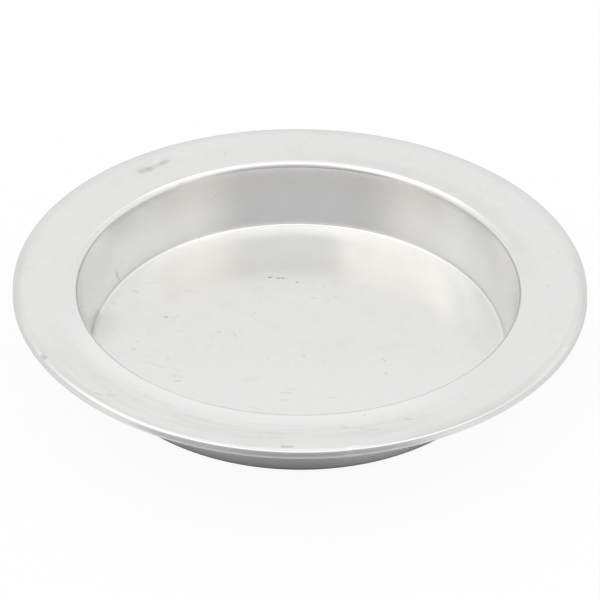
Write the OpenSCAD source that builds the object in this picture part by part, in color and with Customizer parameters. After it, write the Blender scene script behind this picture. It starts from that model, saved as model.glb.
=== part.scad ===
// Round pie tin pressed from one sheet of aluminium.
// A flat floor turns up into a leaning wall, folds out into a wide brim that rises
// like a shallow cone, rolls over at its outside and ends in a short edge turned down.
// Millimetres. +Z is up and is the axis of the tin. The origin is on the underside
// of the floor, at its centre, which is where the tin stands.
// The sheet keeps one thickness all along: sizes are measured on its upper face,
// and the lower face follows at the sheet's own distance round every bend.

/* [Node shown] */
// Which node is drawn

/* [Overall] */
// Outer diameter across the turned-down edge
rim_d = 250; // [180:1:320]
// Height from the underside of the floor to the top of the rim
tin_h = 38.4; // [24:0.1:60]
// Thickness of the sheet
sheet = 0.8; // [0.4:0.05:0.9]

/* [Well] */
// Lean of the wall outwards from upright, in degrees
wall_lean = 6.7; // [2:0.1:30]
// Inside radius of the bend between floor and wall
floor_bend_r = 2; // [1:0.25:8]

/* [Brim] */
// Width of the brim, from the corner at the top of the wall to the outside
brim_w = 28.5; // [16:0.5:45]
// Slope of the brim, rising to the outside, in degrees
brim_slope = 9; // [0:0.5:14.5]
// Radius of the fold between wall and brim, on its upper face
fold_r = 4; // [1.6:0.1:6]

/* [Roll at the outside of the brim] */
// Radius of the roll in which the brim turns from rising to falling
roll_r = 7; // [3:0.25:8.25]
// Slope with which the brim falls after the roll, in degrees
roll_fall = 22; // [10:0.5:30]
// Width from the corner of the roll to the lip
roll_w = 2.8; // [2.5:0.1:6]

/* [Edge] */
// Radius of the corner between brim and lip, on its upper face
rim_r = 1; // [1:0.05:1.5]
// Height of the rim, from its top down to the trimmed edge
lip_h = 3.7; // [2.8:0.1:8]
// How far the trimmed edge leans out past the upright part of the lip
lip_flare = 0.2; // [0:0.05:0.4]
// Height of the part of the lip that leans out
lip_flare_h = 0.3; // [0.3:0.05:0.9]

/* [Hidden] */

// Segments of a full turn, and of a full circle in the section
turn_fn = 240;
bend_fn = 96;
// The circle of a bend is drawn this much larger than true, so that it meets its
// two straight runs at one clear point each
graze = 0.0005;

alu = [0.86, 0.87, 0.87];

// Directions of travel along the upper face, from the axis outwards
floor_dir = [1, 0];
wall_dir = [sin(wall_lean), cos(wall_lean)];
brim_dir = [cos(brim_slope), sin(brim_slope)];
roll_dir = [cos(roll_fall), -sin(roll_fall)];
lip_dir = [0, -1];
flare_dir = [lip_flare, -lip_flare_h] / norm([lip_flare, lip_flare_h]);

// Unit normal on the upper side of a run
function above(dir) = [-dir[1], dir[0]];

// Step from a corner, for two runs that both move sideways by one unit
function mitre(u, v) = (above(u) + above(v)) / (1 + above(u) * above(v));

// Upper face of the sheet, as a line of straight runs from corner to corner. The roll
// is set out first, since its top is the top of the tin.
lip_r = rim_d / 2 - lip_flare;
to_roll = roll_r * mitre(brim_dir, roll_dir);
roll_c = [lip_r - roll_w - to_roll[0], tin_h - roll_r];
roll_corner = roll_c + to_roll;
rim_corner = [lip_r, roll_corner[1] - roll_w * tan(roll_fall)];
fold_x = rim_d / 2 - brim_w;
fold_corner = [fold_x, roll_corner[1] - (roll_corner[0] - fold_x) * tan(brim_slope)];
floor_corner = [fold_x - (fold_corner[1] - sheet) * tan(wall_lean), sheet];
edge_z = tin_h - lip_h;
flare_corner = [lip_r, edge_z + lip_flare_h];
edge_corner = [lip_r + lip_flare, edge_z];

// Corners of a face of the sheet: depth 0 is the upper face, depth sheet the lower
function face(depth) = [
    [0, sheet - depth],
    floor_corner - depth * mitre(floor_dir, wall_dir),
    fold_corner - depth * mitre(wall_dir, brim_dir),
    roll_corner - depth * mitre(brim_dir, roll_dir),
    rim_corner - depth * mitre(roll_dir, lip_dir),
    flare_corner - depth * mitre(lip_dir, flare_dir),
    edge_corner - depth * above(flare_dir),
];

// Centres of the other three bends, each shared by both faces as the roll's is
floor_bend_c = floor_corner + floor_bend_r * mitre(floor_dir, wall_dir);
fold_c = fold_corner - fold_r * mitre(wall_dir, brim_dir);
rim_c = rim_corner - rim_r * mitre(roll_dir, lip_dir);

// What a corner has outside its bend: the kite between the bend's centre and a
// point past the corner, less the circle of the bend. n1 and n2 are the unit
// vectors from the centre to the two ends of the bend.
module corner_outside(centre, n1, n2, r) {
    half_cos = norm(n1 + n2) / 2;
    reach = r / half_cos + sheet / 2;
    difference() {
        polygon([centre, centre + r * n1, centre + reach * (n1 + n2) / norm(n1 + n2), centre + r * n2]);
        translate(centre) circle(r = r + graze, $fn = bend_fn);
    }
}

// All that lies under one face of the sheet, with its bends rounded. The points in
// rest close the outline below the tin.
module under_face(depth, rest) {
    difference() {
        union() {
            polygon(concat(face(depth), rest));
            corner_outside(floor_bend_c, -above(wall_dir), -above(floor_dir), floor_bend_r + depth);
        }
        corner_outside(fold_c, above(wall_dir), above(brim_dir), fold_r - depth);
        corner_outside(roll_c, above(brim_dir), above(roll_dir), roll_r - depth);
        corner_outside(rim_c, above(roll_dir), above(lip_dir), rim_r - depth);
    }
}

// Section of the sheet: what lies under its upper face but not under its lower one
module sheet_section() {
    inner_edge = edge_corner - sheet * above(flare_dir);
    difference() {
        under_face(0, [inner_edge, [roll_c[0], -1], [0, -1]]);
        under_face(sheet, [[inner_edge[0], -2], [0, -2]]);
    }
}

// The whole tin, one turn of the section about its axis
module pie_tin() {
    color(alu)
        rotate_extrude($fn = turn_fn)
            sheet_section();
}

pie_tin();
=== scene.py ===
"""Looks of a round pie tin pressed from one sheet of aluminium.

The sheet is worked out as one closed surface turned about Z: its upper face from
the middle of the floor out to the trimmed edge, and its lower face back again.
Small pushes of the sheet, the same on both faces, give the dents and the slightly
uneven floor and rim of a used tin.
"""
import logging
import math
from dataclasses import dataclass, field
from enum import Enum
from typing import Any

import bpy
import numpy as np
from mathutils import Matrix, Vector


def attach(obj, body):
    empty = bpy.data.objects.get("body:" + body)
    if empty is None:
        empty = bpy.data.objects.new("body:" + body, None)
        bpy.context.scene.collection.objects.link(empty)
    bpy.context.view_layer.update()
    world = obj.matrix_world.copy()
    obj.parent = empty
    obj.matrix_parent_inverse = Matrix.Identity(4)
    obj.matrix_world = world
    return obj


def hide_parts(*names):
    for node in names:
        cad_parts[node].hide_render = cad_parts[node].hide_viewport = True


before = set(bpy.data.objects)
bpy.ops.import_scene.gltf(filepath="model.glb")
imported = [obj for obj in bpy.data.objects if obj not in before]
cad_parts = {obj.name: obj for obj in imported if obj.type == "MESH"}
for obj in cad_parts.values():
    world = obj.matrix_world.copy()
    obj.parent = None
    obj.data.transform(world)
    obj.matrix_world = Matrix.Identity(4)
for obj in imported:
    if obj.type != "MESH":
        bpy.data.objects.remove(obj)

log = logging.getLogger("pie_tin")

MM = 0.001
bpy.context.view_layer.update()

Colour = tuple[float, float, float]
Place = tuple[float, float, float]
# Start and end of a smooth step, where the start may be the larger
Span = tuple[float, float]


class Face(Enum):
    """The two faces of the sheet, by their depth as a share of its thickness."""

    UPPER = 0.0
    LOWER = 1.0


# Shader trees


class Wire:
    """One output of a shader node, with arithmetic that adds Math nodes."""

    def __init__(self, graph: "Graph", socket: bpy.types.NodeSocket) -> None:
        """Keep the tree and the socket that carries the value."""
        self.graph = graph
        self.socket = socket

    def beside(self, name: str) -> "Wire":
        """Another output of the same node."""
        return Wire(self.graph, self.socket.node.outputs[name])

    def maths(self, operation: str, *others: "Wire | float", swap: bool = False) -> "Wire":
        """Add one Math node fed by this value and others.

        Args:
            operation: the Math node's operation.
            others: the second operand, where the operation has one.
            swap: whether this value is the second operand.

        Returns:
            The node's result.
        """
        operands = [self, *others]
        if swap:
            operands.reverse()
        inputs = dict(enumerate(operands))
        return self.graph.make("ShaderNodeMath", inputs, operation=operation)

    def __add__(self, other: "Wire | float") -> "Wire":
        """Sum."""
        return self.maths("ADD", other)

    __radd__ = __add__

    def __sub__(self, other: "Wire | float") -> "Wire":
        """Difference."""
        return self.maths("SUBTRACT", other)

    def __rsub__(self, other: "Wire | float") -> "Wire":
        """Difference, with this value taken away."""
        return self.maths("SUBTRACT", other, swap=True)

    def __mul__(self, other: "Wire | float") -> "Wire":
        """Product."""
        return self.maths("MULTIPLY", other)

    __rmul__ = __mul__

    def __truediv__(self, other: "Wire | float") -> "Wire":
        """Quotient."""
        return self.maths("DIVIDE", other)

    def __rtruediv__(self, other: "Wire | float") -> "Wire":
        """Quotient, with this value below."""
        return self.maths("DIVIDE", other, swap=True)

    def clamped(self) -> "Wire":
        """This value held between 0 and 1."""
        return self.maths("MAXIMUM", 0.0).maths("MINIMUM", 1.0)

    def ramp(self, start: float, end: float) -> "Wire":
        """A smooth step that is 0 at start and 1 at end, where start may be the larger."""
        inputs = {0: self, 1: start, 2: end, 3: 0.0, 4: 1.0}
        return self.graph.make("ShaderNodeMapRange", inputs, interpolation_type="SMOOTHSTEP")


class Graph:
    """A shader tree that is being filled."""

    def __init__(self, tree: bpy.types.NodeTree) -> None:
        """Empty the tree and keep it."""
        self.tree = tree
        tree.nodes.clear()

    def make(
        self,
        kind: str,
        inputs: dict[int | str, Any] | None = None,
        output: int | str | None = 0,
        **settings: Any,
    ) -> Wire | None:
        """Add a node of any kind.

        Args:
            kind: the node's type name.
            inputs: socket name or index to a Wire or a plain value.
            output: the output that is returned, or None for a node without one.
            settings: the node's own properties.

        Returns:
            The chosen output, or None.
        """
        node = self.tree.nodes.new(kind)
        for name, value in settings.items():
            setattr(node, name, value)
        for key, value in (inputs or {}).items():
            if isinstance(value, Wire):
                self.tree.links.new(value.socket, node.inputs[key])
            else:
                node.inputs[key].default_value = value
        return None if output is None else Wire(self, node.outputs[output])

    def vector(self, operation: str, *operands: Any, output: int | str = 0) -> Wire:
        """Vector Math on wires or plain triples."""
        return self.make("ShaderNodeVectorMath", dict(enumerate(operands)), output, operation=operation)

    def scaled(self, vector: Any, factor: Wire | float) -> Wire:
        """A vector times a number."""
        inputs = {"Vector": vector, "Scale": factor}
        return self.make("ShaderNodeVectorMath", inputs, operation="SCALE")

    def mix(self, factor: Wire | float, low: Any, high: Any) -> Wire:
        """Mix two colours, each a wire or a plain rgba value."""
        inputs = {0: factor, 6: low, 7: high}
        return self.make("ShaderNodeMix", inputs, 2, data_type="RGBA")

    def blend(self, factor: Wire, low: Wire, high: Wire) -> Wire:
        """Mix two numbers: low where the factor is 0, high where it is 1."""
        return self.make("ShaderNodeMix", {0: factor, 2: low, 3: high}, data_type="FLOAT")

    def split(self, vector: Wire) -> tuple[Wire, Wire, Wire]:
        """The three parts of a vector."""
        x = self.make("ShaderNodeSeparateXYZ", {0: vector})
        return x, x.beside("Y"), x.beside("Z")

    def join(self, x: Wire | float, y: Wire | float, z: Wire | float) -> Wire:
        """A vector of three parts."""
        return self.make("ShaderNodeCombineXYZ", {0: x, 1: y, 2: z})

    def noise(self, place: Wire, scale: float, detail: float = 2.0, rough: float = 0.5) -> Wire:
        """Smooth noise around 0.5 at a place."""
        inputs = {"Vector": place, "Scale": scale, "Detail": detail, "Roughness": rough}
        return self.make("ShaderNodeTexNoise", inputs)


def rgba(red: float, green: float, blue: float) -> tuple[float, float, float, float]:
    """A plain opaque colour."""
    return (red, green, blue, 1.0)


WHITE = rgba(1.0, 1.0, 1.0)
BLACK = rgba(0.0, 0.0, 0.0)


# Meshes


def mesh_object(
    name: str, points: np.ndarray, quads: np.ndarray, triangles: np.ndarray
) -> bpy.types.Object:
    """Make a mesh object from whole arrays.

    Args:
        name: the object's name.
        points: (n, 3) places in metres.
        quads: (m, 4) corner indices.
        triangles: (k, 3) corner indices.

    Returns:
        The object, linked to the scene, at the origin.
    """
    mesh = bpy.data.meshes.new(name)
    mesh.vertices.add(len(points))
    mesh.vertices.foreach_set("co", np.ascontiguousarray(points, dtype=np.float32).ravel())
    corners = np.concatenate([quads.ravel(), triangles.ravel()]).astype(np.int32)
    totals = np.concatenate([np.full(len(quads), 4), np.full(len(triangles), 3)]).astype(np.int32)
    starts = np.concatenate([[0], np.cumsum(totals)[:-1]]).astype(np.int32)
    mesh.loops.add(len(corners))
    mesh.loops.foreach_set("vertex_index", corners)
    mesh.polygons.add(len(totals))
    mesh.polygons.foreach_set("loop_start", starts)
    mesh.polygons.foreach_set("loop_total", totals)
    mesh.update(calc_edges=True)
    mesh.validate()
    piece = bpy.data.objects.new(name, mesh)
    bpy.context.scene.collection.objects.link(piece)
    return piece


def line(start: np.ndarray, end: np.ndarray, count: int) -> np.ndarray:
    """Points on the straight run from start to end, both included: start + t (end - start)."""
    share = np.linspace(0.0, 1.0, count)[:, None]
    return start + share * (end - start)


def arc(centre: np.ndarray, radius: float, start: float, end: float, count: int) -> np.ndarray:
    """Points on a bend: centre + radius (cos a, sin a), with a in degrees from start to end."""
    turn = np.radians(np.linspace(start, end, count))
    return centre + radius * np.stack([np.cos(turn), np.sin(turn)], axis=1)


# The tin


@dataclass(frozen=True)
class Section:
    """Section of the pressed sheet, in millimetres and degrees, as the part has it.

    The counts say how many rings of points each stretch of a face has.
    """

    rim_d: float = 250.0
    tin_h: float = 38.4
    sheet: float = 0.8
    wall_lean: float = 6.7
    floor_bend_r: float = 2.0
    brim_w: float = 28.5
    brim_slope: float = 9.0
    fold_r: float = 4.0
    roll_w: float = 2.8
    roll_r: float = 7.0
    roll_fall: float = 22.0
    rim_r: float = 1.0
    lip_h: float = 3.7
    lip_flare: float = 0.2
    lip_flare_h: float = 0.3
    floor_rings: int = 42
    wall_rings: int = 14
    brim_rings: int = 24
    bend_rings: int = 10
    lip_rings: int = 3

    @staticmethod
    def _above(direction: np.ndarray) -> np.ndarray:
        """Unit normal on the upper side of a run."""
        return np.array([-direction[1], direction[0]])

    def _mitre(self, first: np.ndarray, second: np.ndarray) -> np.ndarray:
        """Step from a corner of two runs that both move sideways by one."""
        a, b = self._above(first), self._above(second)
        return (a + b) / (1.0 + a @ b)

    @property
    def lip_r(self) -> float:
        """Radius of the upright part of the lip."""
        return self.rim_d / 2 - self.lip_flare

    def face(self, side: Face) -> np.ndarray:
        """Follow one face of the sheet from the axis to the trimmed edge.

        Straight runs meet at corners; each corner's bend has one centre for both
        faces, so a point of the face is centre + (r +/- depth)(cos a, sin a) in a
        bend, and run + depth * normal on a straight.

        Args:
            side: the face to follow.

        Returns:
            (n, 2) points of radius and height, in millimetres, with the same
            count on both faces.
        """
        depth = side.value * self.sheet
        lean, slope, fall = (math.radians(a) for a in (self.wall_lean, self.brim_slope, self.roll_fall))
        along_floor = np.array([1.0, 0.0])
        up_wall = np.array([math.sin(lean), math.cos(lean)])
        out_brim = np.array([math.cos(slope), math.sin(slope)])
        down_roll = np.array([math.cos(fall), -math.sin(fall)])
        down_lip = np.array([0.0, -1.0])
        out_flare = np.array([self.lip_flare, -self.lip_flare_h])
        out_flare = out_flare / np.linalg.norm(out_flare)

        to_roll = self._mitre(out_brim, down_roll)
        roll_c = np.array([self.lip_r - self.roll_w - self.roll_r * to_roll[0], self.tin_h - self.roll_r])
        roll = roll_c + self.roll_r * to_roll
        fold_x = self.rim_d / 2 - self.brim_w
        fold = np.array([fold_x, roll[1] - (roll[0] - fold_x) * math.tan(slope)])
        rim = np.array([self.lip_r, roll[1] - self.roll_w * math.tan(fall)])
        floor = np.array([fold_x - (fold[1] - self.sheet) * math.tan(lean), self.sheet])
        edge_z = self.tin_h - self.lip_h

        floor_c = floor + self.floor_bend_r * self._mitre(along_floor, up_wall)
        fold_c = fold - self.fold_r * self._mitre(up_wall, out_brim)
        rim_c = rim - self.rim_r * self._mitre(down_roll, down_lip)
        n = self.bend_rings
        floor_bend = arc(floor_c, self.floor_bend_r + depth, -90.0, -self.wall_lean, n)
        fold_bend = arc(fold_c, self.fold_r - depth, 180.0 - self.wall_lean, 90.0 + self.brim_slope, n)
        roll_bend = arc(roll_c, self.roll_r - depth, 90.0 + self.brim_slope, 90.0 - self.roll_fall, n)
        rim_bend = arc(rim_c, self.rim_r - depth, 90.0 - self.roll_fall, 0.0, n)
        flare = np.array([self.lip_r, edge_z + self.lip_flare_h])
        flare = flare - depth * self._mitre(down_lip, out_flare)
        edge = np.array([self.rim_d / 2, edge_z]) - depth * self._above(out_flare)
        middle = np.array([0.0, self.sheet - depth])
        return np.concatenate([
            line(middle, floor_bend[0], self.floor_rings)[:-1],
            floor_bend,
            line(floor_bend[-1], fold_bend[0], self.wall_rings)[1:-1],
            fold_bend,
            line(fold_bend[-1], roll_bend[0], self.brim_rings)[1:-1],
            roll_bend,
            rim_bend,
            line(rim_bend[-1], flare, self.lip_rings)[1:],
            line(flare, edge, self.lip_rings)[1:],
        ])


@dataclass(frozen=True)
class Dent:
    """A local push of the sheet, in millimetres.

    The push fades as exp(-(a / along)^2 - (b / across)^2), where a is the distance
    from the dent's middle along the rim and b the distance across it.
    """

    middle: Place
    push: tuple[float, float, float]
    along: float
    across: float

    def pushed(self, places: np.ndarray) -> np.ndarray:
        """Work out the push at some places.

        Args:
            places: (n, 3) places of the true round sheet, in millimetres.

        Returns:
            (n, 3) pushes in millimetres.
        """
        middle = np.array(self.middle)
        round_axis = np.array([-middle[1], middle[0], 0.0])
        round_axis = round_axis / np.linalg.norm(round_axis)
        away = places - middle
        a = away @ round_axis
        b = np.linalg.norm(away - a[:, None] * round_axis, axis=1)
        fade = np.exp(-((a / self.along) ** 2) - (b / self.across) ** 2)
        return fade[:, None] * np.array(self.push)


@dataclass(frozen=True)
class Lift:
    """A stretch of the rim that is bent up, in millimetres and degrees.

    The rise is height exp(-((angle - middle) / spread)^2) s^2, where s goes from 0 to
    1 over the outermost width of the brim.
    """

    middle: float
    spread: float
    height: float
    width: float = 5.5

    def raised(self, places: np.ndarray, rim_r: float) -> np.ndarray:
        """Work out the rise at some places.

        Args:
            places: (n, 3) places of the true round sheet, in millimetres.
            rim_r: radius of the rim, in millimetres.

        Returns:
            (n,) heights in millimetres.
        """
        angle = np.degrees(np.arctan2(places[:, 1], places[:, 0]))
        off = (angle - self.middle + 180.0) % 360.0 - 180.0
        share = np.clip((np.hypot(places[:, 0], places[:, 1]) - rim_r) / self.width + 1.0, 0.0, 1.0)
        return self.height * np.exp(-((off / self.spread) ** 2)) * share**2


@dataclass(frozen=True)
class Mark:
    """A mark with a place of its own, in millimetres. Most are marks of use; some are
    painted shade, painted glints or painted highlights.

    It lies along the run from start to end. Its shade is darker than the metal, or
    lighter where negative, as a painted highlight. A broken mark is cut up by noise,
    from 0 for whole to 1.
    """

    start: Place
    end: Place
    width: float
    shade: float
    broken: float = 0.0


@dataclass(frozen=True)
class Dashes:
    """A scatter of short scratches, at most one in each cell, in millimetres.

    A share of the cells has one. It is full in its core, a share of the half width,
    and has a fainter edge of the other tone beside it: a painted glint beside a dark
    dash, painted shade beside a light one. A light dash is a painted glint. The seed
    moves the scatter.
    """

    cell: float
    short: float
    long: float
    half_width: float
    share: float
    shade: float
    seed: float
    light_share: float = 0.4
    least: float = 0.2
    core: float = 0.2
    edge_place: float = 1.5
    edge_shade: float = 0.4
    lean_along: float = 0.6
    lean_across: float = 0.8
    full_along: float = 0.5

    def spread(self, g: Graph, place: Wire, crowd: Wire) -> Wire:
        """Shade of the scatter: above 0 where a dash is darker, below 0 where lighter, as a painted glint.

        Each cell's random colour (p, q, s) gives its dash the turn 2 pi p and the length
        short + s (long - short). The fractions of 7 s and 23 s are two more random
        numbers, for its strength and for dark or light. With (a, b, c) the way from the
        cell's point, u = a cos + b sin + lean_along c runs along the dash, and
        v = b cos - a sin + lean_across c across it.

        Args:
            g: the tree.
            place: the place on the sheet.
            crowd: how closely used the place is, from 0 to 1.

        Returns:
            The shade.
        """
        moved = g.vector("ADD", place, (self.seed, 2.0 * self.seed, 3.0 * self.seed))
        cells = g.make("ShaderNodeTexVoronoi", {"Vector": moved, "Scale": 1.0 / self.cell}, "Position")
        p, q, s = g.split(cells.beside("Color"))
        a, b, c = g.split(g.vector("SUBTRACT", moved, cells))
        turn = p * (2.0 * math.pi)
        cosine, sine = turn.maths("COSINE"), turn.maths("SINE")
        u = a * cosine + b * sine + c * self.lean_along
        v = b * cosine - a * sine + c * self.lean_across
        length = s * (self.long - self.short) + self.short
        along = (u.maths("ABSOLUTE") / length).ramp(1.0, self.full_along)
        here = q.maths("LESS_THAN", crowd * self.share)
        core = self.core * self.half_width
        middle = v.maths("ABSOLUTE").ramp(self.half_width, core)
        edge = (v - self.edge_place * self.half_width).maths("ABSOLUTE").ramp(self.half_width, core)
        strength = (s * 7.0).maths("FRACT") * (1.0 - self.least) + self.least
        sign = (s * 23.0).maths("FRACT").maths("GREATER_THAN", self.light_share) * 2.0 - 1.0
        return along * here * strength * sign * (middle - edge * self.edge_shade) * self.shade


@dataclass(frozen=True)
class PaintedShading:
    """Painted shade and painted light on the metal, in millimetres and degrees.

    A name that ends in x, y, z or r is a smooth step by that coordinate or by the
    radius, apart from the last step of the dimmed rim, which takes x without its sign.
    The near side of the brim is where the cosine of the turn away from near_turn passes
    the step near. The outer band's streak step is a step by the streaks. Each strength
    of shade is how much darker, and the near floor's strength of light how much lighter.
    """

    near_turn: float = -105.0
    near: Span = (0.50, 0.85)
    brim_r: Span = (97.5, 99.5)
    streak_along: float = 0.045
    streak_across: float = 0.45
    streak_sway: float = 9.0
    # Painted highlight band on the inner part of the near brim
    bright_r: Span = (110.0, 101.0)
    # Streaky band of painted shade outside it
    outer_shade_r: Span = (107.0, 113.0)
    outer_shade_end_r: Span = (122.0, 118.0)
    outer_shade_streaks: Span = (0.35, 0.65)
    outer_shade_depth: float = 0.7
    outer_shade_least: float = 0.15
    outer_shade: float = 0.48
    # Painted shade that dims the rim's highlight along its far side, outer edge and sides, and beside its
    # near middle
    far_y: Span = (-30.0, 40.0)
    far_rim_r: Span = (117.5, 122.0)
    edge_y: Span = (-60.0, -20.0)
    edge_r: Span = (122.3, 123.6)
    side_from_y: Span = (-50.0, -15.0)
    side_until_y: Span = (28.0, -5.0)
    rim_r: Span = (119.5, 122.0)
    dimmed_right_x: Span = (25.0, 60.0)
    dimmed_left_x: Span = (-66.0, -88.0)
    dimmed_until_x: Span = (135.0, 98.0)
    rim_shade: float = 0.45
    # Painted shade that dims the brim's highlight by the far fold
    far_fold_x: Span = (-40.0, 30.0)
    far_fold_r: Span = (107.0, 102.0)
    far_fold_shade: float = 0.30
    # Painted shade on the right flank of the wall
    flank_x: Span = (72.0, 90.0)
    flank_y: Span = (5.0, 40.0)
    flank_z: Span = (2.0, 30.0)
    flank_until_z: Span = (33.5, 31.5)
    flank_shade: float = 0.5
    # Painted light on the near part of the floor
    floor_y: Span = (-5.0, -45.0)
    floor_r: Span = (92.0, 84.0)
    floor_light: float = 0.25

    def shade(self, g: Graph, place: Wire) -> Wire:
        """Painted shading: above 0 where the metal is painted darker, below 0 where lighter.

        The brim's bands follow the radius, moved in and out by streaks of noise that
        are drawn out along the rim. The near brim has a painted highlight band, and outside
        it a streaky band of painted shade. Painted shade dims the rim's highlight all along
        its far side and outer edge, at its sides, and to the left and right of its near
        middle, and dims the brim's highlight by the far fold. Painted shade also darkens the
        right flank of the wall, and painted light brightens the near floor.

        Args:
            g: the tree.
            place: the place on the sheet.

        Returns:
            The shade.
        """
        x, y, z = g.split(place)
        radius = (x * x + y * y).maths("SQRT")
        drawn_out = g.join(x * self.streak_along, y * self.streak_along, radius * self.streak_across)
        streaks = g.noise(drawn_out, 1.0, 3.0, 0.6)
        wavy = radius + (streaks - 0.5) * self.streak_sway
        turn = math.radians(self.near_turn)
        near = ((x * math.cos(turn) + y * math.sin(turn)) / radius).ramp(*self.near)
        brim = radius.ramp(*self.brim_r)
        bright = near * wavy.ramp(*self.bright_r) * brim
        streaky = streaks.ramp(*self.outer_shade_streaks) * self.outer_shade_depth + self.outer_shade_least
        outer_shaded = near * wavy.ramp(*self.outer_shade_r) * radius.ramp(*self.outer_shade_end_r) * streaky
        far = y.ramp(*self.far_y)
        outside = far * radius.ramp(*self.far_rim_r) + y.ramp(*self.edge_y) * radius.ramp(*self.edge_r)
        dimmed = x.ramp(*self.dimmed_right_x).maths("MAXIMUM", x.ramp(*self.dimmed_left_x))
        dimmed = dimmed * radius.ramp(*self.rim_r) * x.maths("ABSOLUTE").ramp(*self.dimmed_until_x)
        sides = y.ramp(*self.side_from_y) * y.ramp(*self.side_until_y) * radius.ramp(*self.rim_r)
        rim = outside + dimmed * (1.0 - far) + sides
        far_fold = far * x.ramp(*self.far_fold_x) * wavy.ramp(*self.far_fold_r) * brim
        flank = x.ramp(*self.flank_x) * y.ramp(*self.flank_y)
        flank = flank * z.ramp(*self.flank_z) * z.ramp(*self.flank_until_z)
        floor = y.ramp(*self.floor_y) * radius.ramp(*self.floor_r)
        # Painted shade adds up here, and painted light is taken away
        dull_and_shade = outer_shaded * self.outer_shade + rim * self.rim_shade
        dull_and_shade = dull_and_shade + far_fold * self.far_fold_shade + flank * self.flank_shade
        return dull_and_shade - bright - floor * self.floor_light


@dataclass(frozen=True)
class FarWallTint:
    """Faint warm, darker tint inside the wall, on its far side, in millimetres.

    It is stronger towards the top and away from the middle, and ends before the flanks.
    A name that ends in y, z or off is a smooth step by y, z or the distance from x = 0.
    """

    above_z: Span = (1.5, 4.0)
    below_z: Span = (33.5, 31.5)
    from_y: Span = (20.0, 60.0)
    until_off: Span = (76.0, 58.0)
    top_z: Span = (12.0, 33.0)
    top_share: float = 0.7
    side_off: Span = (15.0, 35.0)
    side_share: float = 0.4
    cloud_share: float = 0.5
    cloud_least: float = 0.75

    def shade(self, g: Graph, place: Wire, clouds: Wire) -> Wire:
        """Strength of the tint.

        Args:
            g: the tree.
            place: the place on the sheet.
            clouds: soft patches between 0 and 1, which break it up.

        Returns:
            The strength.
        """
        x, y, z = g.split(place)
        off = x.maths("ABSOLUTE")
        wall = z.ramp(*self.below_z) * z.ramp(*self.above_z)
        wall = wall * y.ramp(*self.from_y) * off.ramp(*self.until_off)
        strong = z.ramp(*self.top_z) * self.top_share + off.ramp(*self.side_off) * self.side_share
        return wall * strong * (clouds * self.cloud_share + self.cloud_least)


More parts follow.
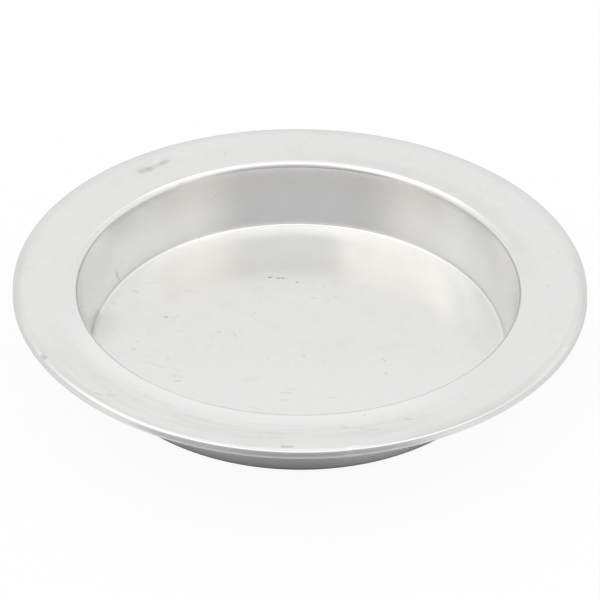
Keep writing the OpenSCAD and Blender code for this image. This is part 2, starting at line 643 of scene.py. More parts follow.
@dataclass(frozen=True)
class SatinAluminium:
    """Rolled and pressed aluminium after use, in millimetres: a satin sheen with soft
    cloudy patches, faint rings from the press, painted shade and painted light, a warm
    tint inside the far wall, short scratches and marks.

    The noise that cuts up broken marks has break_scale waves to the millimetre.
    """

    metal: Colour = (0.92, 0.921, 0.918)
    # The duller colour serves the cloudy patches and painted shade; the brighter one serves painted
    # highlights and painted light
    dull_and_shade: Colour = (0.80, 0.803, 0.79)
    bright: Colour = (0.985, 0.985, 0.983)
    # Colour of dark marks: scratches, specks and painted shade
    mark: Colour = (0.36, 0.362, 0.345)
    # Warm, darker tint inside the far wall
    wall_tint: Colour = (0.80, 0.785, 0.755)
    roughness: float = 0.20
    roughness_spread: float = 0.04
    marked_rougher: float = 0.2
    bend_rougher: float = 0.06
    bend_r: Span = (85.0, 89.0)
    bend_z: Span = (9.0, 4.0)
    anisotropic: float = 0.15
    cloud_size: float = 14.0
    small_clouds: float = 0.3
    cloudy: Span = (0.35, 0.85)
    cloudy_dull: float = 0.34
    ring_pitch: float = 1.6
    ring_depth: float = 0.0006
    grain_size: float = 0.45
    grain_depth: float = 0.0006
    used_most: Place = (-26.0, -22.0, 0.8)
    used_reach: Span = (80.0, 25.0)
    used_share: float = 0.75
    crowd_size: float = 30.0
    crowded: Span = (0.35, 0.65)
    break_scale: float = 0.9
    broken: Span = (0.38, 0.62)
    painted_shading: PaintedShading = field(default_factory=PaintedShading)
    far_wall_tint: FarWallTint = field(default_factory=FarWallTint)
    dashes: tuple[Dashes, ...] = (
        Dashes(8.0, 0.6, 1.8, 0.48, 1.0, 0.26, 13.0),
        Dashes(4.4, 0.4, 1.0, 0.44, 0.75, 0.22, 71.0),
    )

    def build(self, name: str, marks: tuple[Mark, ...]) -> bpy.types.Material:
        """Make the material.

        Args:
            name: the material's name.
            marks: the marks that have a place of their own.

        Returns:
            The material.
        """
        material = bpy.data.materials.new(name)
        material.use_nodes = True
        g = Graph(material.node_tree)
        place = g.scaled(g.make("ShaderNodeTexCoord", output="Object"), 1.0 / MM)
        clouds = self._clouds(g, place)
        painted_shading = self.painted_shading.shade(g, place)
        wall_tint = self.far_wall_tint.shade(g, place, clouds)
        marked = self._placed(g, place, marks) + self._scatter(g, place)
        # Cloudy patches darken the metal at random; painted shade darkens it and painted light brightens it
        darkening = clouds.ramp(*self.cloudy) * self.cloudy_dull + painted_shading
        colour = g.mix(darkening.clamped(), rgba(*self.metal), rgba(*self.dull_and_shade))
        colour = g.mix((painted_shading * -1.0).clamped(), colour, rgba(*self.bright))
        colour = g.mix(wall_tint.clamped(), colour, rgba(*self.wall_tint))
        # Dark marks and their painted shade mix to the mark colour; painted glints and highlights mix to
        # white
        colour = g.mix(marked.clamped(), colour, rgba(*self.mark))
        colour = g.mix((marked * -1.0).clamped(), colour, WHITE)
        rough = (clouds - 0.5) * (2.0 * self.roughness_spread) + self.roughness
        rough = rough + marked.clamped() * self.marked_rougher + self._bend(g, place) * self.bend_rougher
        bump = g.make("ShaderNodeBump", {"Strength": 1.0, "Distance": MM, "Height": self._relief(g, place)})
        surface = g.make(
            "ShaderNodeBsdfPrincipled",
            {
                "Base Color": colour,
                "Roughness": rough.clamped(),
                "Normal": bump,
                "Metallic": 1.0,
                "Anisotropic": self.anisotropic,
            },
        )
        g.make("ShaderNodeOutputMaterial", {"Surface": surface}, None)
        return material

    def _clouds(self, g: Graph, place: Wire) -> Wire:
        """Make soft patches a centimetre or two across.

        Args:
            g: the tree.
            place: the place on the sheet.

        Returns:
            A value between 0 and 1.
        """
        wide = g.noise(place, 1.0 / self.cloud_size, 3.0, 0.55)
        small = g.noise(place, 1.0 / (self.small_clouds * self.cloud_size))
        return wide * (1.0 - self.small_clouds) + small * self.small_clouds

    def _bend(self, g: Graph, place: Wire) -> Wire:
        """Mark out the bend round the floor, which the press leaves rougher.

        Args:
            g: the tree.
            place: the place on the sheet.

        Returns:
            A mask between 0 and 1.
        """
        x, y, z = g.split(place)
        return (x * x + y * y).maths("SQRT").ramp(*self.bend_r) * z.ramp(*self.bend_z)

    def _scatter(self, g: Graph, place: Wire) -> Wire:
        """Shade of all the short scratches, closest together where the floor is most used.

        Args:
            g: the tree.
            place: the place on the sheet.

        Returns:
            The shade.
        """
        used = g.vector("DISTANCE", place, self.used_most, output="Value").ramp(*self.used_reach)
        patches = g.noise(place, 1.0 / self.crowd_size).ramp(*self.crowded)
        crowd = patches * (used * self.used_share + (1.0 - self.used_share))
        total: Wire | None = None
        for dashes in self.dashes:
            shade = dashes.spread(g, place, crowd)
            total = shade if total is None else total + shade
        return total

    def _placed(self, g: Graph, place: Wire, marks: tuple[Mark, ...]) -> Wire:
        """Shade of the placed marks.

        The distance to each is |p - start - h (end - start)|, with h the share of the
        way along, held between 0 and 1.

        Args:
            g: the tree.
            place: the place on the sheet.
            marks: the marks.

        Returns:
            The shade.
        """
        breaks = g.noise(place, self.break_scale, 2.0, 0.6).ramp(*self.broken)
        shade: Wire | None = None
        for mark in marks:
            start, end = Vector(mark.start), Vector(mark.end)
            way = end - start
            away = g.vector("SUBTRACT", place, tuple(start))
            travelled = g.vector("DOT_PRODUCT", away, tuple(way), output="Value")
            share = (travelled * (1.0 / way.length_squared)).clamped()
            distance = g.vector("DISTANCE", away, g.scaled(tuple(way), share), output="Value")
            mask = distance.ramp(mark.width, 0.0)
            if mark.broken:
                mask = mask * (breaks * mark.broken + (1.0 - mark.broken))
            tone = mask * mark.shade
            shade = tone if shade is None else shade + tone
        return shade

    def _relief(self, g: Graph, place: Wire) -> Wire:
        """Height of the press rings and of the grain.

        Args:
            g: the tree.
            place: the place on the sheet.

        Returns:
            The height in millimetres.
        """
        x, y, z = g.split(place)
        radius = (x * x + y * y).maths("SQRT")
        rings = g.noise(g.join(radius, z, 0.0), 1.0 / self.ring_pitch, 2.0, 0.6)
        grain = g.noise(place, 1.0 / self.grain_size, 2.0, 0.6)
        return rings * self.ring_depth + grain * self.grain_depth


@dataclass(frozen=True)
class Unevenness:
    """What is uneven in one whole tin, in millimetres and degrees.

    The well's foot and its fold are off the rim's middle, and the wall leans between
    them. The floor rises in a dish before the bend. The rim and the floor have slow
    waves, and the rim is pulled sideways at one place. Each of the rim's waves is its
    share, its count round the rim and its phase in radians.
    """

    fold_shift: tuple[float, float] = (-0.5, -0.1)
    foot_shift: tuple[float, float] = (-0.2, 0.45)
    fold_z: float = 34.4
    dish_start: float = 80.5
    dish_end: float = 90.7
    dish_rise: float = 0.62
    side_pull: float = 0.5
    side_turn: float = -152.0
    rim_wave: float = 0.12
    rim_waves: tuple[tuple[float, float, float], ...] = (
        (0.45, 2.0, 0.6),
        (0.3, 3.0, -1.1),
        (0.25, 5.0, -0.4),
    )
    floor_wave: float = 0.05
    swell_r: float = 86.0
    swell_edge: float = 4.0
    swell_lift: float = 1.6
    swell_x: float = 17.0
    swell_y: float = 21.0
    swell_phases: tuple[float, float] = (0.7, 0.4)
    slant: tuple[float, float] = (29.0, 12.0)
    slant_share: float = 0.6

    def pushes(self, places: np.ndarray, rim_r: float, well_r: float) -> np.ndarray:
        """Work out the push of the sheet at places on its upper face.

        With r and a the radius and the angle of a place, o = (r - well_r) / (rim_r -
        well_r) goes from 0 at the fold to 1 at the rim, and u = z / fold_z from 0 at
        the foot to 1 at the fold. The well is moved by (1 - o) (foot_shift (1 - u) +
        fold_shift u). The rim is lowered by rim_wave o^2 (1 - w), with w the sum of
        share cos(count a - phase) over rim_waves, and is pulled along +X by
        side_pull o^2 c^2, with c the cosine of the turn from side_turn, where above 0.
        The dish is dish_rise s^2 (1 - u), with s the share of the way from dish_start
        to dish_end. The floor rises by floor_wave (swell_lift + v), fading to nothing
        at swell_r, with v = sin(x / swell_x + p) cos(y / swell_y - q) +
        slant_share sin(x / m + y / n), for the swell_phases p, q and the slant m, n.

        Args:
            places: (n, 3) places of the true round sheet.
            rim_r: radius of the rim.
            well_r: radius of the corner of wall and brim.

        Returns:
            (n, 3) pushes.
        """
        x, y, z = places.T
        radius = np.hypot(x, y)
        angle = np.arctan2(y, x)
        out = np.clip((radius - well_r) / (rim_r - well_r), 0.0, 1.0)
        up_wall = np.clip(z / self.fold_z, 0.0, 1.0)[:, None]
        push = np.zeros_like(places)
        shift = np.array(self.foot_shift) * (1.0 - up_wall) + np.array(self.fold_shift) * up_wall
        push[:, :2] = shift * (1.0 - out)[:, None]
        wave = sum(share * np.cos(count * angle - phase) for share, count, phase in self.rim_waves)
        push[:, 2] = self.rim_wave * out**2 * (wave - 1.0)
        beside = np.clip(np.cos(angle - math.radians(self.side_turn)), 0.0, 1.0) ** 2
        push[:, 0] += self.side_pull * out**2 * beside
        inside = np.minimum(1.0, self.swell_edge * np.clip(1.0 - radius / self.swell_r, 0.0, 1.0))
        first, second = self.swell_phases
        swell = np.sin(x / self.swell_x + first) * np.cos(y / self.swell_y - second)
        swell += self.slant_share * np.sin(x / self.slant[0] + y / self.slant[1])
        push[:, 2] += self.floor_wave * inside * (self.swell_lift + swell)
        way = np.clip((radius - self.dish_start) / (self.dish_end - self.dish_start), 0.0, 1.0)
        push[:, 2] += self.dish_rise * way**2 * (1.0 - up_wall[:, 0])
        return push


@dataclass
class PieTin:
    """The whole tin: one pressed sheet, its dents and its finish.

    Spokes stand closer together round a dent that is short along the rim: 1 + crowding
    times as close at its middle, fading over crowd_width, in radians.
    """

    section: Section = field(default_factory=Section)
    unevenness: Unevenness = field(default_factory=Unevenness)
    finish: SatinAluminium = field(default_factory=SatinAluminium)
    dents: tuple[Dent, ...] = ()
    lifts: tuple[Lift, ...] = ()
    marks: tuple[Mark, ...] = ()
    spokes: int = 384
    short_dent: float = 6.0
    crowding: float = 3.0
    crowd_width: float = 0.06
    crowd_steps: int = 7200
    sharp_angle: float = 35.0

    def _spoke_angles(self) -> np.ndarray:
        """Work out the angles of the spokes.

        Their spacing is the inverse of 1 + crowding sum exp(-((a - dent) / crowd_width)^2).

        Returns:
            (spokes,) angles in radians, from 0 up to a full turn.
        """
        even = np.linspace(0.0, 2.0 * math.pi, self.crowd_steps + 1)
        crowd = np.ones_like(even)
        for dent in self.dents:
            if dent.along < self.short_dent:
                middle = math.atan2(dent.middle[1], dent.middle[0]) % (2.0 * math.pi)
                off = np.angle(np.exp(1j * (even - middle)))
                crowd += self.crowding * np.exp(-((off / self.crowd_width) ** 2))
        travelled = np.concatenate([[0.0], np.cumsum(0.5 * (crowd[1:] + crowd[:-1]))])
        share = np.linspace(0.0, travelled[-1], self.spokes, endpoint=False)
        return np.interp(share, travelled, even)

    def _pushed(self, places: np.ndarray) -> np.ndarray:
        """Add up all pushes of the sheet, which are the same for both faces.

        Args:
            places: (n, 3) places of the true round sheet's upper face, in millimetres.

        Returns:
            (n, 3) pushes in millimetres.
        """
        rim_r = self.section.rim_d / 2
        push = self.unevenness.pushes(places, rim_r, rim_r - self.section.brim_w)
        for lift in self.lifts:
            push[:, 2] += lift.raised(places, rim_r)
        for dent in self.dents:
            push += dent.pushed(places)
        return push

    def build(self) -> bpy.types.Object:
        """Make the sheet and its finish.

        A point of a face is (r cos a, r sin a, z) for the section's points (r, z) and
        the spokes' angles a, plus the push at the same point of the upper face. The
        rings run from the middle of the floor out over the upper face, round the
        trimmed edge and back under the lower face.

        Returns:
            The tin's object.
        """
        upper, lower = self.section.face(Face.UPPER), self.section.face(Face.LOWER)
        angle = self._spoke_angles()
        turn = np.stack([np.cos(angle), np.sin(angle)], axis=1)

        def swept(profile: np.ndarray) -> np.ndarray:
            """Turn a profile of (n, 2) points about Z, as (n, spokes, 3) places."""
            flat = profile[:, None, 0:1] * turn[None]
            height = np.broadcast_to(profile[:, None, 1:2], flat.shape[:2] + (1,))
            return np.concatenate([flat, height], axis=2)

        top, under = swept(upper), swept(lower)
        push = self._pushed(top.reshape(-1, 3)).reshape(top.shape)
        top, under = top + push, under + push
        rings = np.concatenate([top[1:], under[:0:-1]])
        count, spokes = rings.shape[:2]
        middles = np.stack([top[0].mean(axis=0), under[0].mean(axis=0)])
        points = np.concatenate([rings.reshape(-1, 3), middles])
        ring = np.arange(count - 1)[:, None] * spokes
        here = np.arange(spokes)[None, :]
        after = np.roll(here, -1, axis=1)
        quads = np.stack(
            [ring + here, ring + spokes + here, ring + spokes + after, ring + after], axis=2
        ).reshape(-1, 4)
        middle_top, middle_under = len(points) - 2, len(points) - 1
        last = (count - 1) * spokes
        fan = np.full(spokes, middle_top)
        fan_under = np.full(spokes, middle_under)
        triangles = np.concatenate([
            np.stack([fan, here[0], after[0]], axis=1),
            np.stack([fan_under, last + after[0], last + here[0]], axis=1),
        ])
        piece = mesh_object("tin_sheet", points * MM, quads, triangles)
        piece.data.shade_smooth()
        piece.data.set_sharp_from_angle(angle=math.radians(self.sharp_angle))
        piece.data.materials.append(self.finish.build("satin_aluminium", self.marks))
        return piece


# The studio


@dataclass(frozen=True)
class PhotoCamera:
    """Camera at the photograph's viewing angle, from a fit to the tin's round edges.

    The focal length and the frame are in pixels of the photograph, the rest is in
    millimetres and degrees.
    """

    focal_px: float = 1794.1
    frame_px: float = 600.0
    elevation: float = 34.86
    roll: float = 0.577
    distance: float = 783.9
    aim_right: float = 0.26
    aim_up: float = -14.16
    aim_height: float = 38.5
    sensor: float = 36.0
    clip_m: tuple[float, float] = (0.01, 20.0)

    def build(self) -> bpy.types.Object:
        """Place the camera: it looks along +Y and down, turned by the roll about its axis.

        Returns:
            The camera's object.
        """
        tilt, roll = math.radians(self.elevation), math.radians(self.roll)
        ahead = Vector((0.0, math.cos(tilt), -math.sin(tilt)))
        level_right = Vector((1.0, 0.0, 0.0))
        level_up = level_right.cross(ahead)
        right = math.cos(roll) * level_right + math.sin(roll) * level_up
        up = -math.sin(roll) * level_right + math.cos(roll) * level_up
        aim = Vector((0.0, 0.0, self.aim_height)) + self.aim_right * level_right + self.aim_up * level_up
        place = (aim - self.distance * ahead) * MM
        data = bpy.data.cameras.new("photo_camera")
        data.sensor_fit = "HORIZONTAL"
        data.sensor_width = self.sensor
        data.lens = self.focal_px / self.frame_px * self.sensor
        data.dof.use_dof = False
        data.clip_start, data.clip_end = self.clip_m
        camera = bpy.data.objects.new("photo_camera", data)
        turn = Matrix((right, up, -ahead)).transposed().to_4x4()
        camera.matrix_world = Matrix.Translation(place) @ turn
        bpy.context.scene.collection.objects.link(camera)
        bpy.context.scene.camera = camera
        return camera


@dataclass(frozen=True)
class StudioFloor:
    """Pale matt floor that keeps the tin's shadow, in metres and degrees.

    Seen directly it is filled up to white. In the metal it shows painted reflections,
    which give the lip its edge: a painted dark patch before the tin, pale beside that,
    nearly white under the brim, plain further back, and a painted contact shadow where
    the floor touches the tin. A turn is measured from the camera's side about the tin's
    middle, above 0 to the right.
    """

    size: float = 3.2
    cells: int = 40
    drop: float = 0.00002
    colour: Colour = (0.92, 0.92, 0.92)
    fill_seen: float = 0.93
    bounced: Colour = (0.5, 0.5, 0.5)
    # Colours of the painted reflections in the metal, with a painted dark patch before the tin
    plain: Colour = (0.745, 0.745, 0.745)
    before: Colour = (0.388, 0.382, 0.415)
    beside: Colour = (0.92, 0.92, 0.91)
    under: Colour = (0.75, 0.75, 0.755)
    # Reach of the painted contact shadow seen in the metal
    contact: float = 0.008
    paler_turn: Span = (4.0, 26.0)
    paler_share: float = 0.22
    beside_right: Span = (22.0, 36.0)
    beside_left: Span = (-30.0, -49.0)
    under_right: Span = (0.0, 30.0)
    under_left: Span = (0.0, -48.0)
    under_out: Span = (0.135, 0.105)
    back_out: Span = (0.10, 0.22)
    back_pull: float = 0.5

    def _sheet(self) -> bpy.types.Object:
        """Make the flat sheet, with the points (x, y, -drop) of an even grid.

        Returns:
            The sheet's object.
        """
        count = self.cells + 1
        edge = np.linspace(-self.size / 2, self.size / 2, count)
        x, y = np.meshgrid(edge, edge, indexing="ij")
        points = np.stack([x.ravel(), y.ravel(), np.full(x.size, -self.drop)], axis=1)
        cell = (np.arange(self.cells)[:, None] * count + np.arange(self.cells)[None, :]).ravel()
        quads = np.stack([cell, cell + count, cell + count + 1, cell + 1], axis=1)
        return mesh_object("studio_floor", points, quads, np.zeros((0, 3), dtype=int))

    def _painted_reflection(self, g: Graph) -> Wire:
        """Paint the floor's reflections in the metal, apart from the painted contact shadow.

        With (x, y) a place, its turn is atan2(x, -y) and its way out sqrt(x^2 + y^2).

        Args:
            g: the tree.

        Returns:
            The colour.
        """
        place = g.make("ShaderNodeTexCoord", output="Object")
        x, y, _ = g.split(place)
        out = g.vector("LENGTH", place, output="Value")
        turn = x.maths("ARCTAN2", y * -1.0) * (180.0 / math.pi)
        paler = turn.maths("ABSOLUTE").ramp(*self.paler_turn) * self.paler_share
        before = g.mix(paler, rgba(*self.before), rgba(*self.beside))
        beside = turn.ramp(*self.beside_right).maths("MAXIMUM", turn.ramp(*self.beside_left))
        before = g.mix(beside, before, rgba(*self.beside))
        aside = turn.ramp(*self.under_right).maths("MAXIMUM", turn.ramp(*self.under_left))
        under = g.mix(aside, rgba(*self.under), WHITE)
        near = g.mix(out.ramp(*self.under_out), before, under)
        return g.mix((out + y * self.back_pull).ramp(*self.back_out), near, rgba(*self.plain))

    def _material(self) -> bpy.types.Material:
        """Make the floor's material, with a branch for each kind of ray.

        Returns:
            The material.
        """
        material = bpy.data.materials.new("pale_floor")
        material.use_nodes = True
        g = Graph(material.node_tree)
        seen = g.make("ShaderNodeLightPath", output="Is Camera Ray")
        mirrored = seen.beside("Is Glossy Ray").maths("MAXIMUM", seen.beside("Is Transmission Ray"))
        # Painted contact shadow, seen only in the metal
        open_share = g.make("ShaderNodeAmbientOcclusion", {"Distance": self.contact}, "AO")
        painted_reflection = g.mix(open_share, BLACK, self._painted_reflection(g))
        colour = g.mix(mirrored, rgba(*self.bounced), painted_reflection)
        colour = g.mix(seen, colour, rgba(*self.colour))
        matt = g.make("ShaderNodeBsdfDiffuse", {"Color": colour})
        glow = g.make("ShaderNodeEmission", {"Color": WHITE, "Strength": 1.0})
        shader = g.make("ShaderNodeMixShader", {0: seen * self.fill_seen, 1: matt, 2: glow})
        g.make("ShaderNodeOutputMaterial", {"Surface": shader}, None)
        return material

    def build(self) -> bpy.types.Object:
        """Make the floor.

        Returns:
            The floor's object.
        """
        floor = self._sheet()
        floor.data.materials.append(self._material())
        return floor


@dataclass(frozen=True)
class Way:
    """A direction from the tin, as the parts that the tent's colours follow.

    Facing is -y / sqrt(x^2 + y^2), the cosine of the turn away from the camera's
    side. Left is 1 at the tent's left, as the camera sees it, and 0 at its right.
    """

    x: Wire
    y: Wire
    z: Wire
    facing: Wire
    left: Wire


@dataclass(frozen=True)
class Tent:
    """Tent of light all round, with a colour for each direction (x, y, z).

    A name that ends in x, y, z or facing is a smooth step by that part of the way.
    To the camera itself the tent is white.
    """

    horizon: Colour = (0.82, 0.82, 0.817)
    walls: Colour = (0.85, 0.849, 0.845)
    walls_z: Span = (0.0, 0.16)
    left_x: Span = (0.1, -0.1)
    tiny: float = 0.0001

    high_side: Colour = (0.95, 0.948, 0.937)
    high_z: Span = (0.41, 0.62)
    high_facing: Span = (-0.80, -0.45)
    warm_right: Colour = (1.07, 1.045, 1.005)
    warm_left: Colour = (1.19, 1.162, 1.12)
    warm_facing: Span = (0.0, 0.20)
    warm_left_wider: float = 0.30

    opening_low: Colour = (0.21, 0.206, 0.23)
    opening_mid: Colour = (0.54, 0.54, 0.55)
    opening_high: Colour = (0.80, 0.80, 0.80)
    opening_mid_z: Span = (0.08, 0.28)
    opening_high_z: Span = (0.38, 0.70)
    opening_right_facing: Span = (0.54, 0.93)
    opening_left_facing: Span = (0.44, 0.87)
    opening_left_high_facing: Span = (0.85, 0.94)
    opening_left_z: Span = (0.45, 0.65)

    far_dim: Colour = (0.78, 0.778, 0.77)
    far_pale: Colour = (0.91, 0.91, 0.90)
    far_z: Span = (0.67, 0.72)
    far_y: Span = (0.08, 0.24)
    far_facing: Span = (-0.97, -0.85)
    flank_from_facing: Span = (-0.98, -0.88)
    flank_until_facing: Span = (-0.40, -0.60)
    flank_low_from_z: Span = (0.38, 0.44)
    flank_low_until_z: Span = (0.58, 0.53)
    flank_high_from_z: Span = (0.55, 0.60)
    flank_high_until_z: Span = (0.73, 0.67)

    overhead: Colour = (1.12, 1.12, 1.12)
    overhead_z: Span = (0.76, 0.86)
    overhead_y: Span = (0.30, 0.0)
    overhead_x: Span = (0.34, 0.08)
    overhead_least: float = 0.14
    ring: Colour = (1.42, 1.41, 1.39)
    ring_from_z: Span = (0.770, 0.845)
    ring_until_z: Span = (0.97, 0.91)
    ring_back: float = 0.25
    ring_y: Span = (0.10, -0.08)
    ring_spread: float = 0.45
    ring_left_x: Span = (-0.36, -0.48)
    ring_left_y: Span = (0.52, 0.36)
    ring_left_share: float = 0.75
    ring_right_x: Span = (0.36, 0.48)
    ring_right_share: float = 0.25
    zenith: Colour = (0.97, 0.97, 0.97)
    zenith_z: Span = (0.935, 0.97)

    def _sides(self, g: Graph, way: Way) -> Wire:
        """Colour the pale walls, the brighter high sides and the warm camera's side.

        Args:
            g: the tree.
            way: the direction.

        Returns:
            The colour.
        """
        high = way.z.ramp(*self.high_z)
        colour = g.mix(way.z.ramp(*self.walls_z), rgba(*self.horizon), rgba(*self.walls))
        colour = g.mix(high * way.facing.ramp(*self.high_facing), colour, rgba(*self.high_side))
        warm = g.mix(way.left, rgba(*self.warm_right), rgba(*self.warm_left))
        wider = way.facing + way.left * self.warm_left_wider
        return g.mix(high * wider.ramp(*self.warm_facing), colour, warm)

    def _opened(self, g: Graph, way: Way, colour: Wire) -> Wire:
        """Open the tent behind the camera, where it darkens towards the ground.

        Args:
            g: the tree.
            way: the direction.
            colour: the tent's colour so far.

        Returns:
            The colour.
        """
        opening = g.mix(way.z.ramp(*self.opening_mid_z), rgba(*self.opening_low), rgba(*self.opening_mid))
        opening = g.mix(way.z.ramp(*self.opening_high_z), opening, rgba(*self.opening_high))
        right = way.facing.ramp(*self.opening_right_facing)
        low_left = way.facing.ramp(*self.opening_left_facing)
        high_left = way.facing.ramp(*self.opening_left_high_facing)
        left = g.blend(way.z.ramp(*self.opening_left_z), low_left, high_left)
        return g.mix(g.blend(way.left, right, left), colour, opening)

    def _far_side(self, g: Graph, way: Way, colour: Wire) -> Wire:
        """Put a dim band and two flanks on the side away from the camera.

        Args:
            g: the tree.
            way: the direction.
            colour: the tent's colour so far.

        Returns:
            The colour.
        """
        band = way.z.ramp(*self.far_z) * way.y.ramp(*self.far_y) * way.facing.ramp(*self.far_facing)
        colour = g.mix(band, colour, rgba(*self.far_dim))
        flanks = way.facing.ramp(*self.flank_from_facing) * way.facing.ramp(*self.flank_until_facing)
        low = flanks * way.z.ramp(*self.flank_low_from_z) * way.z.ramp(*self.flank_low_until_z)
        colour = g.mix(low, colour, rgba(*self.far_dim))
        high = flanks * way.z.ramp(*self.flank_high_from_z) * way.z.ramp(*self.flank_high_until_z)
        return g.mix(high, colour, rgba(*self.far_pale))

    def _above(self, g: Graph, way: Way, colour: Wire) -> Wire:
        """Put the overhead light, a brighter ring round it and the zenith on top.

        The ring runs where y - ring_spread |x| is low, and at the left and right where
        y isn't high. Its lower edge drops by ring_back y behind the tin.

        Args:
            g: the tree.
            way: the direction.
            colour: the tent's colour so far.

        Returns:
            The colour.
        """
        width = way.x.ramp(*self.overhead_x) * (1.0 - self.overhead_least) + self.overhead_least
        top = way.z.ramp(*self.overhead_z) * way.y.ramp(*self.overhead_y) * width
        colour = g.mix(top, colour, rgba(*self.overhead))
        left = way.x.ramp(*self.ring_left_x) * way.y.ramp(*self.ring_left_y) * self.ring_left_share
        right = way.x.ramp(*self.ring_right_x) * self.ring_right_share
        front = (way.y - way.x.maths("ABSOLUTE") * self.ring_spread).ramp(*self.ring_y)
        span = front.maths("MAXIMUM", left + right)
        height = way.z + way.y.maths("MAXIMUM", 0.0) * self.ring_back
        ring = height.ramp(*self.ring_from_z) * way.z.ramp(*self.ring_until_z) * span
        colour = g.mix(ring, colour, rgba(*self.ring))
        return g.mix(way.z.ramp(*self.zenith_z), colour, rgba(*self.zenith))

    def build(self) -> None:
        """Make the world and fill it with the tent's colours."""
        world = bpy.data.worlds.new("tent")
        bpy.context.scene.world = world
        world.use_nodes = True
        g = Graph(world.node_tree)
        x, y, z = g.split(g.make("ShaderNodeTexCoord", output="Generated"))
        facing = y * -1.0 / (x * x + y * y + self.tiny).maths("SQRT")
        way = Way(x, y, z, facing, x.ramp(*self.left_x))
        colour = self._opened(g, way, self._sides(g, way))
        colour = self._above(g, way, self._far_side(g, way, colour))
        seen = g.make("ShaderNodeLightPath", output="Is Camera Ray")
        light = g.make("ShaderNodeBackground", {"Color": g.mix(seen, colour, WHITE), "Strength": 1.0})
        g.make("ShaderNodeOutputWorld", {"Surface": light}, None)


# Putting it together

# A soft dent in the far left of the brim, and two nicks at the rim
DENTS = (
    Dent((-70.5, 89.0, 36.6), (0.0, 0.0, -0.35), 9.0, 3.2),
    Dent((-104.5, -65.0, 37.8), (0.22, 0.13, -0.2), 2.8, 2.6),
    Dent((21.3, -123.5, 37.6), (0.0, 0.35, -0.25), 2.4, 2.4),
)

# A stretch of the rim at the near right that stands up a little
LIFTS = (
    Lift(-58.0, 22.0, 0.32),
)

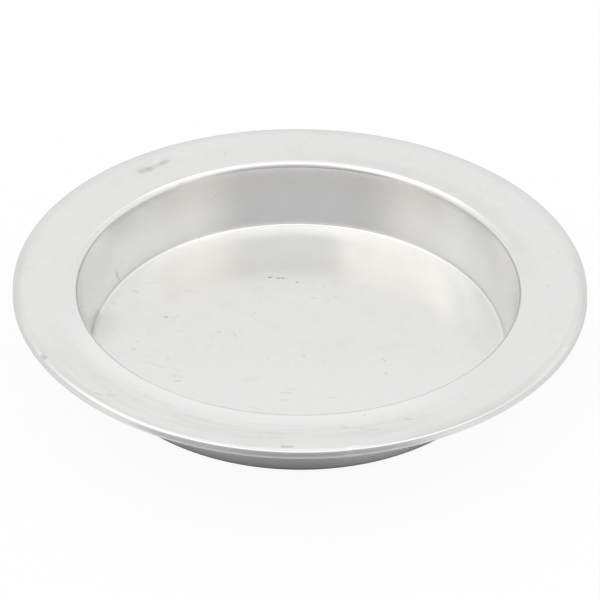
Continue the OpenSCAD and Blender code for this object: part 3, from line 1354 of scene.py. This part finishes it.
MARKS = (
    # Black specks in a row at the far side of the floor
    Mark((-14.4, 47.6, 0.8), (-13.7, 47.6, 0.8), 0.95, 0.95),
    Mark((-10.4, 47.1, 0.8), (-9.7, 47.1, 0.8), 0.9, 0.85),
    Mark((-8.3, 47.1, 0.8), (-7.6, 47.1, 0.8), 0.85, 0.75),
    Mark((-1.3, 43.9, 0.8), (-0.9, 43.9, 0.8), 0.85, 0.75),
    # Dot and faint strokes at the left of the floor
    Mark((-60.9, 14.5, 0.8), (-60.4, 14.5, 0.8), 0.95, 0.65),
    Mark((-80.8, 36.1, 0.8), (-76.1, 35.3, 0.8), 0.8, 0.18, broken=0.6),
    Mark((-76.1, 35.3, 0.8), (-74.6, 34.0, 0.8), 0.8, 0.25),
    Mark((-71.5, 41.6, 0.8), (-68.0, 42.6, 0.8), 0.8, 0.16, broken=0.5),
    Mark((-68.0, 42.6, 0.8), (-64.8, 40.6, 0.8), 0.8, 0.14, broken=0.6),
    Mark((-86.2, 24.4, 0.8), (-84.9, 25.8, 0.8), 1.0, 0.2),
    Mark((-52.8, 35.4, 0.8), (-47.6, 34.5, 0.8), 1.6, 0.13, broken=0.9),
    Mark((-36.8, 4.0, 0.8), (-35.7, 3.3, 0.8), 1.2, 0.17),
    # Painted glint beside the dark stroke before it
    Mark((-36.4, 6.0, 0.8), (-35.0, 5.2, 0.8), 0.9, -0.25),
    Mark((-29.4, 3.0, 0.8), (-27.8, -0.8, 0.8), 0.9, 0.15, broken=0.4),
    # Broad painted reflection of the wall's dark foot, on the floor by the left corner
    Mark((-91.0, 0.0, 0.8), (-87.5, 12.0, 0.8), 11.0, 0.12),
    # Marks near the fold, towards the camera
    Mark((-53.4, -33.3, 0.8), (-51.6, -33.2, 0.8), 1.3, 0.27, broken=0.3),
    Mark((-54.2, -29.6, 0.8), (-51.6, -30.6, 0.8), 2.6, 0.11, broken=0.7),
    Mark((-66.5, -19.3, 0.8), (-58.0, -24.2, 0.8), 1.3, 0.11, broken=0.8),
    Mark((-73.9, -9.6, 0.8), (-73.0, -10.5, 0.8), 1.1, 0.16),
    # Painted glint
    Mark((-68.9, -15.8, 0.8), (-66.0, -19.0, 0.8), 1.1, -0.22),
    Mark((-23.2, -32.3, 0.8), (-19.0, -31.2, 0.8), 3.0, 0.12, broken=0.9),
    Mark((-7.0, -40.7, 0.8), (-3.8, -40.5, 0.8), 1.5, 0.13, broken=0.7),
    Mark((-5.2, -37.6, 0.8), (-0.6, -38.0, 0.8), 1.3, 0.10, broken=0.8),
    Mark((-7.4, -45.7, 0.8), (-4.9, -45.8, 0.8), 1.0, 0.11),
    Mark((12.9, -43.6, 0.8), (16.1, -43.5, 0.8), 1.1, 0.13, broken=0.4),
    Mark((-20.8, -50.7, 0.8), (-15.2, -52.7, 0.8), 0.8, 0.11),
    # Painted shade of the soft dent on the brim at the far left, with a painted highlight behind it
    Mark((-75.6, 83.2, 37.1), (-72.2, 85.6, 37.1), 3.2, 0.34),
    Mark((-72.0, 86.0, 37.1), (-67.0, 90.2, 37.2), 2.8, 0.20, broken=0.4),
    Mark((-66.4, 91.0, 37.2), (-64.4, 92.8, 37.2), 2.2, 0.30),
    Mark((-78.6, 82.6, 37.1), (-64.0, 94.2, 37.2), 5.5, 0.07, broken=0.3),
    Mark((-72.8, 88.8, 37.4), (-69.0, 92.0, 37.4), 1.8, -0.26),
    # Marks on the near brim and at its edge
    Mark((-104.6, -65.2, 38.2), (-103.2, -66.8, 38.2), 1.7, 0.4),
    Mark((-81.0, -90.3, 38.5), (-77.5, -91.4, 38.2), 1.2, 0.16, broken=0.4),
    Mark((-75.0, -90.9, 37.9), (-73.0, -91.1, 37.8), 1.3, 0.17),
    Mark((17.4, -107.9, 36.6), (19.0, -108.1, 36.6), 1.2, 0.2, broken=0.4),
    Mark((25.0, -109.5, 37.0), (30.0, -110.2, 37.2), 1.9, 0.19, broken=0.6),
    Mark((41.8, -102.9, 37.0), (44.3, -103.2, 37.0), 1.1, 0.24, broken=0.3),
    Mark((-6.0, -122.2, 38.0), (-2.2, -122.1, 37.9), 0.9, 0.5),
    # Marks on the wall
    # Painted shade in the foot of the wall at the left, where it meets the floor
    Mark((-91.8, 14.0, 2.6), (-92.8, -1.0, 2.6), 3.4, 0.26),
    Mark((-85.0, 39.2, 8.0), (-84.8, 39.3, 6.6), 1.7, 0.5),
    Mark((-84.4, 39.6, 4.9), (-84.1, 40.2, 3.8), 1.3, 0.28),
    # Painted glints along two scratches
    Mark((39.1, 86.6, 25.8), (36.4, 87.3, 21.6), 0.5, -0.5),
    Mark((47.7, 81.8, 23.2), (46.6, 82.2, 20.6), 0.45, -0.4),
)


def main() -> None:
    """Build the studio and the tin, and hand the tin over to the frame."""
    logging.basicConfig(level=logging.INFO, format="%(name)s: %(message)s")
    view = bpy.context.scene.view_settings
    view.view_transform = "Standard"
    PhotoCamera().build()
    Tent().build()
    floor = StudioFloor().build()
    tin = PieTin(dents=DENTS, lifts=LIFTS, marks=MARKS).build()
    for piece in (floor, tin):
        log.info("%s: %d points, %d faces", piece.name, len(piece.data.vertices), len(piece.data.polygons))
    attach(tin, "root")
    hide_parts("pie_tin")


if __name__ == "__main__":
    main()
